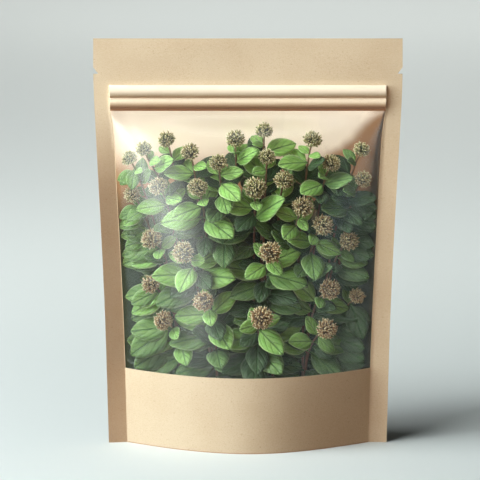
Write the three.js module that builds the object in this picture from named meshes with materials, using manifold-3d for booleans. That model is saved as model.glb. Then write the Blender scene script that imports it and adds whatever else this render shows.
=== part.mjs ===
// Stand-up kraft pouch with a clear front window, filled with flowering oregano sprigs.
// Millimetres, +Z up, the window faces -Y, the origin is under the middle of the base.
import * as THREE from "three";
import { mergeVertices } from "three/addons/utils/BufferGeometryUtils.js";
import Module from "manifold-3d";

const wasm = await Module();
wasm.setup();

// ---------- driving dimensions ----------
const HEIGHT = 214; // floor to the top edge
const KRAFT = 0.7; // thickness of a kraft panel
const FILM = 0.6; // thickness of the window film
const GAP = 0.3; // clearance between neighbouring pieces
const SEAM = FILM / 2 + GAP; // middle of the side seal to the inner face of a panel

// Stations up the pouch, [height, value]; a smooth curve runs through them.
const HALF_WIDTH = [[0, 73], [63, 74.4], [105, 76], [141, 77.7], [166, 79], [190, 80], [HEIGHT, 80]];
const HALF_BODY = [[0, 63.2], [63, 64.9], [105, 66.7], [141, 68.5], [166, 70], [178, 71.6], [HEIGHT, 71.6]];
const BULGE = [[0, 27.5], [40, 27.2], [80, 25], [120, 20.6], [150, 14.4], [165, 9], [177, 0], [HEIGHT, 0]];
const FULLNESS_LOW = 1; // power of the cosine section at the base
const FULLNESS_HIGH = 0.58; // and from FULLNESS_TOP up, where the sides are rounder
const FULLNESS_TOP = 150;

const WINDOW_LOW = 40; // window's lower and upper edge
const WINDOW_TOP = 176.2;
const LAP = 3; // film hidden behind the kraft round the window
const FILM_TOP = WINDOW_TOP + 0.8;

const ZIP_LOW = 177.4; // the two pressed ridges of the zip
const ZIP_GROOVE = 183.2;
const ZIP_TOP = 189.6;
const RIDGE = 2; // how far the ridges stand out
const GROOVE = 0.9; // how far the groove between them still stands out

const NOTCH_LOW = 195.5; // tear notches in both side seals
const NOTCH_TOP = 199;
const NOTCH_DEPTH = 2.6;

const TRAY_FLOOR = 1; // bottom gusset
const TRAY_RIM = 12;
const TRAY_WALL = 0.8;

// Shoots, front ones first: [x, z, radius, lean, turn, sprig]. x and z place the middle of the flower head,
// lean is 0 for an upright tip and 1 for one that faces the window, turn is the bearing of the first pair of
// leaves in degrees, and shoots with the same sprig letter fork from one foot.
const SHOOTS = [
  [11.6, 104, 6.4, 0.9, 35, "a"],
  [7, 70, 6.6, 0.85, 160, "b"],
  [-23, 78, 5.9, 0.75, 70, "c"],
  [-33.6, 103, 6.2, 0.75, 20, "d"],
  [41, 62, 5.9, 0.7, 40, "e"],
  [-44, 66, 5.6, 0.7, 75, "f"],
  [42.5, 83, 5.9, 0.7, 100, "g"],
  [-50.5, 85, 5.3, 0.6, 10, "c"],
  [39, 117, 6, 0.6, 60, "g"],
  [-50, 109, 6, 0.55, 110, "h"],
  [28.5, 127, 6, 0.55, 15, "a"],
  [52.5, 108, 5.6, 0.5, 80, "i"],
  [57, 78, 4.6, 0.5, 30, "i"],
  [4, 137, 6.2, 0.5, 50, "j"],
  [18.5, 141, 5.4, 0.4, 120, "k"],
  [-26, 137, 5.4, 0.5, 30, "l"],
  [-46.5, 137, 5.4, 0.45, 65, "m"],
  [-60, 132, 4.9, 0.35, 15, "n"],
  [60, 140, 5, 0.3, 90, "o"],
  [-15.5, 150, 5, 0.35, 20, "j"],
  [43, 149, 5.4, 0.3, 70, "p"],
  [10, 153, 4.8, 0.25, 100, "q"],
  [-61.5, 151, 4.6, 0.2, 50, "n"],
  [-30, 155, 5.2, 0.25, 0, "l"],
  [-54, 156, 4.6, 0.15, 85, "m"],
  [-6.6, 161.5, 5.4, 0.1, 30, "r"],
  [-42, 161, 4.9, 0.1, 60, "s"],
  [33.5, 161, 5.3, 0.1, 10, "t"],
  [59, 155.5, 4.7, 0.15, 40, "o"],
  [8.6, 165.5, 4.9, 0.05, 75, "q"],
];
const FOOT_Z = TRAY_FLOOR + GAP; // the cut ends stand on the gusset
const STEM_RADIUS = 0.8;
const LONGEST_LEAD = 0.3; // of a stem's rise, runs straight into the head
const STEM_STEPS = 7;
const STEM_CROWDING = 1.5; // above 1 the steps crowd towards the tip
const STEM_PARTS = 8; // clearance samples along each step
const SPLAY = 0.006; // outward lean of a tip for each millimetre from the middle

// Pairs of leaves down a shoot: [distance below the head, length, angle from the stem in degrees].
const PAIRS = [[2.5, 12, 55], [7, 18, 68], [13, 22, 76], [20, 23, 82], [28, 22, 84], [37, 21, 84]];
const LEAF_WIDTH = 0.6; // of its length
const LEAF_RIB = 1.2; // thickness at the midrib
const LEAF_FOLD = 0.16; // height of the edges over the midrib, of the half width
const LEAF_DROOP = 0.16; // fall of the tip, of the length
// Outline: [share of the length, share of the half width]; the first is the leaf stalk.
const LEAF_OUTLINE = [[0, 0.1], [0.12, 0.16], [0.34, 0.96], [0.68, 0.84], [1, 0]];
const LEAF_FLATTEN = 0.5; // the shallow pouch turns the leaves sideways,
const LEAF_FACING = 0.5; // and turns their upper faces to the window
const LOWEST_LEAF = 16;
const LEAF_SAMPLE = 2; // spacing of the clearance samples over a leaf
const LEAF_APART = 1.5; // least distance between the middles of two leaves that lie along each other
// What a leaf may change to grow clear of what is there: its scale, its rise and its bearing, in degrees.
const TRIES_SCALE = [1, 0.84, 0.7];
const TRIES_RISE = [0, -18, 14, -36];
const TRIES_TURN = [0, 18, -18, 38, -38, 60, -60];
// Ways that a stem may take, the likeliest first: [height of its bend, length of its lead], the share of
// the head's x that its foot stands at, and how far back it stands, as a share of the depth there.
const TRIES_BEND = [[0.45, 16], [0.65, 9], [0.8, 5]];
const TRIES_ACROSS = [0.7, 0.6, 0.8, 0.5, 0.9];
const TRIES_BACK = [0.15, 0.35, -0.15, 0.6, -0.5];
const BACK_RISE = 0.004; // taller shoots stand further back, by this share for each millimetre
const BACK_FROM = 80; // above this height
const BACK_MOST = 0.85;
const FOOT_MARGIN = 4; // from the walls, at the foot and at the bend
const BEND_MARGIN = 3;
const SEED = 7;
const JITTER_TURN = 12; // random change of a leaf's bearing, in degrees, and of its scale and droop
const JITTER_SCALE = 0.12;
const JITTER_DROOP = 0.4;
const SCRAP = 0.06; // slivers smaller than this are cleared where leaves join a stem

const COLOURS = {
  kraft: { color: 0xd8c09a, roughness: 0.85, metalness: 0 },
  film: { color: 0xe6ece6, roughness: 0.2, metalness: 0 },
  track: { color: 0xe9e6dc, roughness: 0.45, metalness: 0 },
  leaf: { color: 0x6f9a4c, roughness: 0.6, metalness: 0 },
  bud: { color: 0xa79a6c, roughness: 0.8, metalness: 0 },
};

// ---------- helpers ----------
const rad = (degrees) => (degrees * Math.PI) / 180;
const clamp01 = (v) => Math.min(1, Math.max(0, v));

// Smooth curve through stations [at, value]; each station's slope is that of the chord past it.
function through(stations) {
  const n = stations.length;
  const slope = stations.map((_, i) => {
    const a = stations[Math.max(0, i - 1)];
    const b = stations[Math.min(n - 1, i + 1)];
    return (b[1] - a[1]) / (b[0] - a[0]);
  });
  return (at) => {
    const s = Math.min(stations[n - 1][0], Math.max(stations[0][0], at));
    let i = 0;
    while (i < n - 2 && s > stations[i + 1][0]) i += 1;
    const [x0, y0] = stations[i];
    const [x1, y1] = stations[i + 1];
    const h = x1 - x0;
    const t = (s - x0) / h;
    const u = 1 - t;
    return (
      u * u * (1 + 2 * t) * y0 + t * t * (3 - 2 * t) * y1 + t * u * h * (u * slope[i] - t * slope[i + 1])
    );
  };
}
const halfWidth = through(HALF_WIDTH);
const halfBody = through(HALF_BODY);
const bulgeDepth = through(BULGE);

// Half depth of the pouch's middle surface at a place on it.
function bulge(x, z) {
  const u = Math.min(1, Math.abs(x) / halfBody(z));
  const power = FULLNESS_LOW + (FULLNESS_HIGH - FULLNESS_LOW) * clamp01(z / FULLNESS_TOP);
  return Math.max(0, bulgeDepth(z)) * Math.max(0, Math.cos((u * Math.PI) / 2)) ** power;
}

// Closed body of points [x, y, z] and faces by point index.
function solid(points, faces) {
  const geometry = new THREE.BufferGeometry();
  geometry.setAttribute("position", new THREE.Float32BufferAttribute(points.flat(), 3));
  geometry.setIndex(faces.flat());
  return toManifold(geometry);
}
function toManifold(geometry) {
  const bare = geometry.clone();
  bare.deleteAttribute("normal");
  bare.deleteAttribute("uv");
  const merged = mergeVertices(bare, 1e-4);
  const vertProperties = new Float32Array(merged.attributes.position.array);
  const triVerts = new Uint32Array(merged.index.array);
  return new wasm.Manifold(new wasm.Mesh({ numProp: 3, vertProperties, triVerts }));
}
function toGeometry(body) {
  const mesh = body.getMesh();
  const positions = new Float32Array(mesh.numVert * 3);
  for (let i = 0; i < mesh.numVert; i += 1) {
    positions.set(mesh.vertProperties.subarray(i * mesh.numProp, i * mesh.numProp + 3), i * 3);
  }
  const geometry = new THREE.BufferGeometry();
  geometry.setAttribute("position", new THREE.BufferAttribute(positions, 3));
  geometry.setIndex(new THREE.BufferAttribute(new Uint32Array(mesh.triVerts), 1));
  geometry.computeVertexNormals();
  return geometry;
}
const union = (bodies) => bodies.reduce((whole, body) => whole.add(body));

const pouch = new THREE.Group();
function piece(name, body, finish) {
  const mesh = new THREE.Mesh(toGeometry(body), new THREE.MeshStandardMaterial(COLOURS[finish]));
  mesh.name = name;
  pouch.add(mesh);
}

// ---------- sheets of the pouch ----------
// A sheet between two y surfaces over a grid of columns (functions of height) and rows (heights).
// keep(i, j) says which cells of the grid are there.
function sheet(columns, rows, frontY, backY, keep = () => true) {
  const wide = columns.length;
  const points = [];
  for (const surface of [frontY, backY]) {
    rows.forEach((z) => columns.forEach((column) => points.push([column(z), surface(column(z), z), z])));
  }
  const half = wide * rows.length;
  const cell = (i, j) => i >= 0 && j >= 0 && i < wide - 1 && j < rows.length - 1 && keep(i, j);
  const faces = [];
  const quad = (a, b, c, d) => faces.push([a, b, c], [a, c, d]);
  for (let j = 0; j < rows.length - 1; j += 1) {
    for (let i = 0; i < wide - 1; i += 1) {
      if (!cell(i, j)) continue;
      const a = j * wide + i;
      const b = a + 1;
      const c = b + wide;
      const d = a + wide;
      quad(a, b, c, d);
      quad(d + half, c + half, b + half, a + half);
      if (!cell(i, j - 1)) quad(b, a, a + half, b + half);
      if (!cell(i, j + 1)) quad(d, c, c + half, d + half);
      if (!cell(i - 1, j)) quad(a, d, d + half, a + half);
      if (!cell(i + 1, j)) quad(c, b, b + half, c + half);
    }
  }
  return solid(points, faces);
}

// Columns across the body, as shares of its half width.
const ACROSS = [0, 0.3, 0.56, 0.78, 0.92, 0.985, 1];
const bodyShares = [...ACROSS.slice(1).reverse().map((u) => -u), ...ACROSS];
const bodyColumns = bodyShares.map((u) => (z) => u * halfBody(z));
const panelColumns = [(z) => -halfWidth(z), ...bodyColumns, (z) => halfWidth(z)];

const BAND_ROWS = [0, 20];
const WINDOW_ROWS = [WINDOW_LOW, 68, 96, 122, 144, 160, 170, WINDOW_TOP];
const ZIP_ROWS = [ZIP_LOW, 178.4, 182.2, ZIP_GROOVE, 184.2, 188.6, ZIP_TOP];
const panelRows = [...BAND_ROWS, ...WINDOW_ROWS, FILM_TOP, ...ZIP_ROWS, HEIGHT];

// The kraft stands out over the two halves of the zip, and ends square at the side seals.
const ridges = through([
  [ZIP_LOW, 0], [178.4, RIDGE], [182.2, RIDGE], [ZIP_GROOVE, GROOVE],
  [184.2, RIDGE], [188.6, RIDGE], [ZIP_TOP, 0],
]);
function relief(x, z) {
  if (z <= ZIP_LOW || z >= ZIP_TOP) return 0;
  return ridges(z) * clamp01((1 - Math.abs(x) / halfBody(z)) / (1 - ACROSS[5]));
}
const skin = (x, z) => bulge(x, z) + relief(x, z);

const inWindow = (i, j) =>
  i >= 1 && i < panelColumns.length - 2 && panelRows[j] >= WINDOW_LOW && panelRows[j] < WINDOW_TOP;

// Tear notch: a wedge through the edge of a panel on one side.
function notch(side) {
  const outline = new THREE.Shape();
  const edge = halfWidth(NOTCH_LOW);
  outline.moveTo(edge - NOTCH_DEPTH, NOTCH_LOW);
  outline.lineTo(edge + 1, NOTCH_LOW);
  outline.lineTo(edge + 1, NOTCH_TOP + 0.7);
  outline.lineTo(edge, NOTCH_TOP);
  const depth = 2 * (SEAM + KRAFT) + 2;
  const wedge = new THREE.ExtrudeGeometry(outline, { depth, bevelEnabled: false });
  wedge.translate(0, 0, -depth / 2);
  wedge.rotateX(Math.PI / 2);
  if (side < 0) wedge.rotateZ(Math.PI);
  return toManifold(wedge);
}
const notched = (panel) => panel.subtract(notch(1)).subtract(notch(-1));

function frontPanel() {
  const outer = (x, z) => -skin(x, z) - SEAM - KRAFT;
  const inner = (x, z) => -skin(x, z) - SEAM;
  return notched(sheet(panelColumns, panelRows, outer, inner, (i, j) => !inWindow(i, j)));
}
function backPanel() {
  const inner = (x, z) => skin(x, z) + SEAM;
  const outer = (x, z) => skin(x, z) + SEAM + KRAFT;
  return notched(sheet(panelColumns, panelRows, inner, outer));
}
function windowFilm() {
  const columns = [(z) => -halfBody(z) - LAP, ...bodyColumns, (z) => halfBody(z) + LAP];
  const rows = [WINDOW_LOW - LAP, ...WINDOW_ROWS, FILM_TOP];
  return sheet(columns, rows, (x, z) => -bulge(x, z) - FILM / 2, (x, z) => -bulge(x, z) + FILM / 2);
}

// Lens-shaped body that fills the pouch between two heights, on the panels' own columns, with its skin
// set out from the middle surface by some distance (or in, where that is negative).
function lens(offset, low, high, shares) {
  const across = shares.length;
  const around = 2 * across;
  const points = [];
  [low, high].forEach((z) => {
    const front = shares.map((u) => [u * halfBody(z), -bulge(u * halfBody(z), z) - offset, z]);
    points.push(...front, ...front.map(([x, y]) => [x, -y, z]).reverse());
  });
  const faces = [];
  for (let k = 0; k < around; k += 1) {
    const next = (k + 1) % around;
    faces.push([k, next, around + next], [k, around + next, around + k]);
  }
  for (let k = 0; k < across - 1; k += 1) {
    const [a, b, c, d] = [k, k + 1, around - 2 - k, around - 1 - k];
    faces.push([b, a, d], [c, b, d]);
    faces.push([around + a, around + b, around + d], [around + b, around + c, around + d]);
  }
  return solid(points, faces);
}
function bottomGusset() {
  const out = SEAM - GAP;
  const shell = lens(out, 0, TRAY_RIM, bodyShares);
  const inside = lens(out - TRAY_WALL, TRAY_FLOOR, TRAY_RIM + 1, bodyShares.slice(1, -1));
  return shell.subtract(inside);
}

// ---------- press-to-close zip ----------
// Both tracks are one profile run across the pouch; the front one's rib sits in the back one's jaws.
const TRACK_HALF = 70.4;
const TRACK_BASE = 0.7; // thickness of the strip
const RIB_NECK = 0.4; // half height of the rib's neck, its head, the jaws' slot and the jaws
const RIB_HEAD = 0.8;
const SLOT = 1.1;
const JAW = 1.9;
function trackProfile(outline) {
  const profile = new THREE.Shape(outline.map(([y, z]) => new THREE.Vector2(y, z)));
  const run = new THREE.ExtrudeGeometry(profile, { depth: 2 * TRACK_HALF, bevelEnabled: false });
  run.translate(0, 0, -TRACK_HALF);
  // Profile axes (y, z) and run direction x.
  run.applyMatrix4(new THREE.Matrix4().set(0, 0, 1, 0, 1, 0, 0, 0, 0, 1, 0, 0, 0, 0, 0, 1));
  return toManifold(run);
}
const trackRoom = SEAM + GROOVE - GAP; // inner face of a panel behind the groove, less the clearance
const trackLow = ZIP_LOW + 1.2;
const trackHigh = ZIP_TOP - 1.4;
function zipFront() {
  const foot = -trackRoom + TRACK_BASE;
  return trackProfile([
    [-trackRoom, trackLow], [foot, trackLow], [foot, ZIP_GROOVE - RIB_NECK],
    [0, ZIP_GROOVE - RIB_NECK], [0, ZIP_GROOVE - RIB_HEAD], [0.4, ZIP_GROOVE - RIB_HEAD],
    [0.4, ZIP_GROOVE + RIB_HEAD], [0, ZIP_GROOVE + RIB_HEAD], [0, ZIP_GROOVE + RIB_NECK],
    [foot, ZIP_GROOVE + RIB_NECK], [foot, trackHigh], [-trackRoom, trackHigh],
  ]);
}
function zipBack() {
  const foot = trackRoom - TRACK_BASE + 0.3;
  const reach = -0.3;
  return trackProfile([
    [trackRoom, trackHigh], [foot, trackHigh], [foot, ZIP_GROOVE + JAW], [reach, ZIP_GROOVE + JAW],
    [reach, ZIP_GROOVE + SLOT], [foot + 0.1, ZIP_GROOVE + SLOT], [foot + 0.1, ZIP_GROOVE - SLOT],
    [reach, ZIP_GROOVE - SLOT], [reach, ZIP_GROOVE - JAW], [foot, ZIP_GROOVE - JAW],
    [foot, trackLow], [trackRoom, trackLow],
  ]);
}

// ---------- oregano ----------
const add = (a, b) => [a[0] + b[0], a[1] + b[1], a[2] + b[2]];
const times = (a, k) => [a[0] * k, a[1] * k, a[2] * k];
const minus = (a, b) => add(a, times(b, -1));
const dot = (a, b) => a[0] * b[0] + a[1] * b[1] + a[2] * b[2];
const cross = (a, b) => [a[1] * b[2] - a[2] * b[1], a[2] * b[0] - a[0] * b[2], a[0] * b[1] - a[1] * b[0]];
const size = (a) => Math.sqrt(dot(a, a));
const unit = (a) => times(a, 1 / size(a));

let seed = SEED;
function draw() {
  seed = (Math.imul(seed, 1664525) + 1013904223) >>> 0;
  return seed / 2 ** 32;
}

// Is a point inside the pouch, with a margin to its walls?
function within(p, margin) {
  return p[2] > FOOT_Z - 0.01 && Math.abs(p[1]) <= bulge(p[0], p[2]) - FILM / 2 - margin;
}

// A flower head lies against the film; where the pouch is shallow the film presses it flatter.
const HEAD_CLEAR = 0.6;
const HEAD_CORNER = 0.75; // the room for a head is the least that is left this share of its radius out
const UPRIGHT_LOSS = 0.65; // a tip that leans by 1 keeps the rest of its upright share
function headOf([x, z, radius, lean, turn, sprig]) {
  const near = HEAD_CORNER * radius;
  const places = [[0, 0], [near, 0], [-near, 0], [0, near], [0, -near]];
  const room = Math.min(...places.map(([dx, dz]) => bulge(x + dx, z + dz))) - FILM / 2 - HEAD_CLEAR;
  const depth = Math.min(radius, room);
  const middle = [x, depth - room, z];
  const across = Math.max(-1, Math.min(1, (bulge(x + 1, z) - bulge(x - 1, z)) / 2));
  const up = Math.max(-1, Math.min(1, (bulge(x, z + 1) - bulge(x, z - 1)) / 2));
  const outward = unit([-across, -1, -up]);
  const tip = unit(add(times(outward, lean), [x * SPLAY, 0, 1 - UPRIGHT_LOSS * lean]));
  const pole = [-tip[0] * radius, -tip[1] * depth, -tip[2] * radius];
  const neck = add(middle, times(pole, 1 + GAP / size(pole)));
  return { middle, radius, depth, tip, neck, turn, sprig };
}
const heads = SHOOTS.map(headOf);

// How far a point is outside a head, negative inside.
function fromHead(p, head) {
  const d = minus(p, head.middle);
  const flat = Math.sqrt(d[0] ** 2 + d[2] ** 2 + ((d[1] * head.radius) / head.depth) ** 2);
  return (flat - head.radius) * (head.depth / head.radius);
}

// Samples of what is already placed, in a grid of small cells.
const CELL = 3;
const cells = new Map();
const cellKey = (i, j, k) => `${i},${j},${k}`;
const cellOf = (p) => p.map((v) => Math.floor(v / CELL));
function store(sample) {
  const key = cellKey(...cellOf(sample.at));
  if (!cells.has(key)) cells.set(key, []);
  cells.get(key).push(sample);
}
function someNear(p, test) {
  const [ci, cj, ck] = cellOf(p);
  for (let i = ci - 1; i <= ci + 1; i += 1) {
    for (let j = cj - 1; j <= cj + 1; j += 1) {
      for (let k = ck - 1; k <= ck + 1; k += 1) {
        if ((cells.get(cellKey(i, j, k)) || []).some(test)) return true;
      }
    }
  }
  return false;
}

// Stems: a cubic curve from the foot straight up, then over to the neck of the head.
function bezier(points, t) {
  const u = 1 - t;
  const share = [u * u * u, 3 * u * u * t, 3 * u * t * t, t * t * t];
  return points.reduce((sum, p, i) => add(sum, times(p, share[i])), [0, 0, 0]);
}
const stepShare = (u) => 1 - (1 - u) ** STEM_CROWDING;
function stepPoints(route) {
  const run = [route[0]];
  for (let i = 1; i <= STEM_STEPS; i += 1) {
    const from = bezier(route, stepShare((i - 1) / STEM_STEPS));
    const to = bezier(route, stepShare(i / STEM_STEPS));
    for (let k = 1; k <= STEM_PARTS; k += 1) run.push(add(from, times(minus(to, from), k / STEM_PARTS)));
  }
  return run;
}
const STEM_CLEAR = 2 * STEM_RADIUS + 0.7;
const HEAD_STEM_CLEAR = STEM_RADIUS + 0.6;
const stemSamples = [];
const feet = {};
// Least room that a stem's route leaves to the walls, the other heads and the other sprigs' stems.
function spareRoom(run, index, sprig) {
  let spare = Infinity;
  run.forEach((p, i) => {
    if (!within(p, STEM_RADIUS + 0.4)) spare = Math.min(spare, -3);
    heads.forEach((other, k) => {
      if (k !== index) spare = Math.min(spare, fromHead(p, other) - HEAD_STEM_CLEAR);
    });
    if (i % 2) return;
    stemSamples.forEach((s) => {
      if (s.sprig !== sprig) spare = Math.min(spare, size(minus(s.at, p)) - STEM_CLEAR);
    });
  });
  return spare;
}
function stemRoute(index) {
  const head = heads[index];
  const { neck, tip, sprig } = head;
  const rise = neck[2] - FOOT_Z;
  let best = null;
  for (const [high, lead] of TRIES_BEND) {
    for (const across of TRIES_ACROSS) {
      for (const share of TRIES_BACK) {
        const back = Math.min(BACK_MOST, share + BACK_RISE * (head.middle[2] - BACK_FROM));
        const x = across * head.middle[0];
        const foot = feet[sprig] || [x, back * (bulge(x, FOOT_Z) - FOOT_MARGIN), FOOT_Z];
        const bend = [x, back * (bulge(x, high * rise) - BEND_MARGIN), FOOT_Z + high * rise];
        const route = [foot, bend, minus(neck, times(tip, Math.min(lead, LONGEST_LEAD * rise))), neck];
        const run = stepPoints(route);
        const spare = spareRoom(run, index, sprig);
        if (!best || spare > best.spare) best = { route, run, foot, spare };
        if (best.spare >= 0) break;
      }
      if (best.spare >= 0) break;
    }
    if (best.spare >= 0) break;
  }
  feet[sprig] = best.foot;
  best.run.forEach((at) => stemSamples.push({ at, sprig, radius: STEM_RADIUS }));
  return best;
}
const stems = heads.map((_, i) => stemRoute(i));
stemSamples.forEach(store);

// Leaf: base on the stem, d along it, n out of its upper face, q across it.
function leafPoint(leaf, t, v, lift = 0) {
  const half = 0.5 * LEAF_WIDTH * leaf.length * outlineShare(t);
  const along = add(leaf.base, times(leaf.d, leaf.length * t));
  const fallen = add(along, times(leaf.n, -leaf.droop * leaf.length * t * t));
  return add(add(fallen, times(leaf.q, v * half)), times(leaf.n, LEAF_FOLD * half * Math.abs(v) + lift));
}
function outlineShare(t) {
  let i = 0;
  while (i < LEAF_OUTLINE.length - 2 && t > LEAF_OUTLINE[i + 1][0]) i += 1;
  const [t0, s0] = LEAF_OUTLINE[i];
  const [t1, s1] = LEAF_OUTLINE[i + 1];
  return s0 + ((s1 - s0) * (t - t0)) / (t1 - t0);
}
const STALK = 0.25; // this share of a leaf may touch its own sprig
function leafSamples(leaf) {
  const samples = [];
  const rows = Math.ceil(leaf.length / LEAF_SAMPLE);
  for (let j = 1; j <= rows; j += 1) {
    const t = j / rows;
    const half = 0.5 * LEAF_WIDTH * leaf.length * outlineShare(t);
    const columns = Math.ceil((2 * half) / LEAF_SAMPLE);
    for (let i = 0; i <= columns; i += 1) {
      const v = columns ? (2 * i) / columns - 1 : 0;
      samples.push({ at: leafPoint(leaf, t, v), n: leaf.n, sprig: leaf.sprig, stalk: t < STALK });
    }
  }
  return samples;
}
const LEAF_MARGIN = LEAF_RIB / 2 + 0.4;
const LEAF_HEAD_CLEAR = LEAF_RIB / 2 + 0.5;
function isClear(sample) {
  if (!within(sample.at, LEAF_MARGIN)) return false;
  if (heads.some((head) => fromHead(sample.at, head) < LEAF_HEAD_CLEAR)) return false;
  return !someNear(sample.at, (other) => {
    const own = other.sprig === sample.sprig;
    const d = minus(sample.at, other.at);
    if (!other.n) return !own && size(d) < other.radius + LEAF_MARGIN + 0.3;
    if (own && (other.stalk || sample.stalk)) return false;
    const off = Math.abs(dot(d, other.n));
    return off < LEAF_APART && dot(d, d) - off * off < (0.85 * LEAF_SAMPLE) ** 2;
  });
}
function placeLeaf(base, stemward, bearing, [, length, angle], sprig) {
  const jitter = {
    turn: JITTER_TURN * (2 * draw() - 1),
    scale: 1 + JITTER_SCALE * (2 * draw() - 1),
    droop: 1 + JITTER_DROOP * (2 * draw() - 1),
  };
  const side = unit(cross(stemward, [1, 0, 0]));
  const level = cross(side, stemward);
  for (const scale of TRIES_SCALE) {
    for (const rise of TRIES_RISE) {
      for (const turn of TRIES_TURN) {
        const phi = rad(bearing + turn + jitter.turn);
        const beta = rad(angle + rise);
        const round = add(times(level, Math.cos(phi)), times(side, -Math.sin(phi)));
        const r = unit([round[0], round[1] * LEAF_FLATTEN, round[2]]);
        const d = unit(add(times(stemward, Math.cos(beta)), times(r, Math.sin(beta))));
        const face = add(times(stemward, 1 - LEAF_FACING), [0, -LEAF_FACING, 0]);
        const n = unit(minus(face, times(d, dot(face, d))));
        const leaf = { base, d, n, q: cross(n, d), length: length * scale * jitter.scale, sprig };
        leaf.droop = LEAF_DROOP * jitter.droop;
        const samples = leafSamples(leaf);
        if (samples.every(isClear)) {
          samples.forEach(store);
          return leaf;
        }
      }
    }
  }
  return null;
}
function leavesOf(index) {
  const { run } = stems[index];
  const { sprig, turn } = heads[index];
  const leaves = [];
  PAIRS.forEach((pair, k) => {
    let left = pair[0];
    let i = run.length - 1;
    while (i > 1 && left > size(minus(run[i], run[i - 1]))) {
      left -= size(minus(run[i], run[i - 1]));
      i -= 1;
    }
    const stemward = unit(minus(run[i], run[i - 1]));
    const base = minus(run[i], times(stemward, left));
    [0, 180].forEach((half) => {
      if (base[2] < LOWEST_LEAF) return;
      const leaf = placeLeaf(base, stemward, turn + 90 * k + half, pair, sprig);
      if (leaf) leaves.push(leaf);
    });
  });
  return leaves;
}
const foliage = heads.map((_, i) => leavesOf(i));

// ---------- solids of the sprigs ----------
class StemCurve extends THREE.CubicBezierCurve3 {
  getUtoTmapping(u) {
    return stepShare(u);
  }
}
function stemBody(route) {
  const corner = STEM_RADIUS;
  const section = new THREE.Shape([
    new THREE.Vector2(corner, 0), new THREE.Vector2(0, corner),
    new THREE.Vector2(-corner, 0), new THREE.Vector2(0, -corner),
  ]);
  const path = new StemCurve(...route.map((p) => new THREE.Vector3(...p)));
  return toManifold(new THREE.ExtrudeGeometry(section, { steps: STEM_STEPS, extrudePath: path }));
}
// A blade of a flat diamond section: two edges, and a rib line on each face.
function leafBody(leaf) {
  const points = [leafPoint(leaf, 0, 0)];
  const stations = LEAF_OUTLINE.slice(1, -1);
  stations.forEach(([t]) => {
    const half = LEAF_RIB / 2;
    points.push(leafPoint(leaf, t, -1), leafPoint(leaf, t, 0, half), leafPoint(leaf, t, 1));
    points.push(leafPoint(leaf, t, 0, -half));
  });
  points.push(leafPoint(leaf, 1, 0));
  const tip = points.length - 1;
  const last = 1 + 4 * (stations.length - 1);
  const faces = [];
  for (let k = 0; k < 4; k += 1) {
    const next = (k + 1) % 4;
    faces.push([0, 1 + k, 1 + next], [tip, last + next, last + k]);
    for (let s = 1; s < last; s += 4) {
      faces.push([s + k, s + 4 + next, s + next], [s + k, s + 4 + k, s + 4 + next]);
    }
  }
  return solid(points, faces);
}
// A cluster of blunt bud spikes on a round core, flatter towards the film. Each face of an icosahedron
// carries one bud; a large head has one more on each corner, with the valleys between them.
const CORE_SHARE = 0.65;
const LARGE_HEAD = 5.8;
const PRESSED = 0.5; // least half depth of a bud that the film presses flat
function headBody(head) {
  const ball = new THREE.IcosahedronGeometry(1, 0);
  const bare = new THREE.BufferGeometry().setAttribute("position", ball.getAttribute("position"));
  const base = mergeVertices(bare, 1e-4);
  const corners = Array.from({ length: base.attributes.position.count }, (_, i) =>
    new THREE.Vector3().fromBufferAttribute(base.attributes.position, i));
  // One corner of the ball points down the stem.
  const turned = new THREE.Quaternion().setFromUnitVectors(
    corners[0].clone().normalize(), new THREE.Vector3(...head.tip).negate());
  const directions = corners.map((c) => c.clone().applyQuaternion(turned).normalize());
  const faces = [];
  const place = (direction, share) => {
    const away = direction.clone().multiplyScalar(head.radius * share);
    const p = [away.x, (away.y * head.depth) / head.radius, away.z];
    const at = add(head.middle, p);
    const limit = Math.max(PRESSED, bulge(at[0], at[2]) - FILM / 2 - GAP - 0.1);
    return [at[0], Math.min(limit, Math.max(-limit, at[1])), at[2]];
  };
  const large = head.radius > LARGE_HEAD;
  const corner = large ? 0.96 : CORE_SHARE;
  const points = directions.map((direction, i) => place(direction, i ? corner : 1));
  for (let f = 0; f < base.index.count; f += 3) {
    const [a, b, c] = [0, 1, 2].map((k) => base.index.getX(f + k));
    const middle = directions[a].clone().add(directions[b]).add(directions[c]).normalize();
    const top = points.push(place(middle, 0.92 + 0.08 * draw())) - 1;
    [[a, b], [b, c], [c, a]].forEach(([p, q]) => {
      if (!large) {
        faces.push([p, q, top]);
        return;
      }
      const valley = directions[p].clone().add(directions[q]).add(middle).normalize();
      const low = points.push(place(valley, CORE_SHARE)) - 1;
      faces.push([p, q, low], [q, top, low], [top, p, low]);
    });
  }
  return solid(points, faces);
}

piece("front_panel", frontPanel(), "kraft");
piece("back_panel", backPanel(), "kraft");
piece("window_film", windowFilm(), "film");
piece("bottom_gusset", bottomGusset(), "kraft");
piece("zip_track_front", zipFront(), "track");
piece("zip_track_back", zipBack(), "track");

const sprigNames = [...new Set(SHOOTS.map((shoot) => shoot[5]))];
sprigNames.forEach((sprig) => {
  const mine = heads.map((head, i) => (head.sprig === sprig ? i : -1)).filter((i) => i >= 0);
  const bodies = mine.flatMap((i) => [stemBody(stems[i].route), ...foliage[i].map(leafBody)]);
  piece(`leafy_sprig_${sprig}`, union(bodies).simplify(SCRAP), "leaf");
});
heads.forEach((head, i) => piece(`flower_head_${String(i + 1).padStart(2, "0")}`, headBody(head), "bud"));
export default pouch;
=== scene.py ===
# Stand-up kraft pouch with a clear front window, filled with flowering oregano sprigs.
# Lengths below are millimetres; meshes are made in metres.
import itertools
import math
import random

import bmesh
import bpy
from mathutils import Matrix, Vector


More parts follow.
